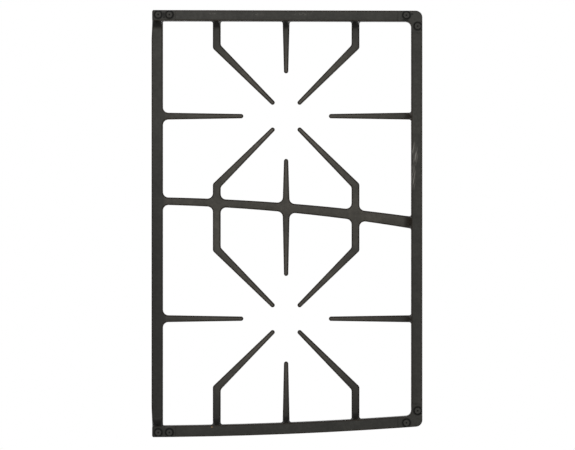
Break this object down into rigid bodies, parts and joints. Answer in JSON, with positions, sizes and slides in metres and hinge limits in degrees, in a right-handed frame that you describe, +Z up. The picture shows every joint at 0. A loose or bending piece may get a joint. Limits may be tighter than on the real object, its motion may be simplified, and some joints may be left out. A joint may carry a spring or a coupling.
{
  "type": "hob pan support",
  "caption": "Cast-iron pan support for the left side of a gas hob: an open rectangular frame with straight fingers and bent limbs over its burner openings, on small rubber foot pads.",
  "frame": {"origin": "under the middle of the outline, on the plane of the pads' undersides, which is the hob plate", "axes": "+X towards the neighbouring pan support (inner rail), +Y towards the rear of the hob, +Z up"},
  "size_m": [0.298, 0.47, 0.027],
  "materials": {
    "enamelled_iron": "satin black enamel with a brown-olive cast over sand-cast iron",
    "pad_rubber": "matt black rubber"
  },
  "bodies": {
    "root": {"grate_casting": "enamelled_iron", "pad_rear_inner_corner": "pad_rubber", "pad_rear_inner_next": "pad_rubber", "pad_rear_outer_rail": "pad_rubber", "pad_rear_outer_side": "pad_rubber", "pad_front_inner_corner": "pad_rubber", "pad_front_inner_next": "pad_rubber", "pad_front_outer_rail": "pad_rubber", "pad_front_outer_side": "pad_rubber"}
  },
  "joints": []
}
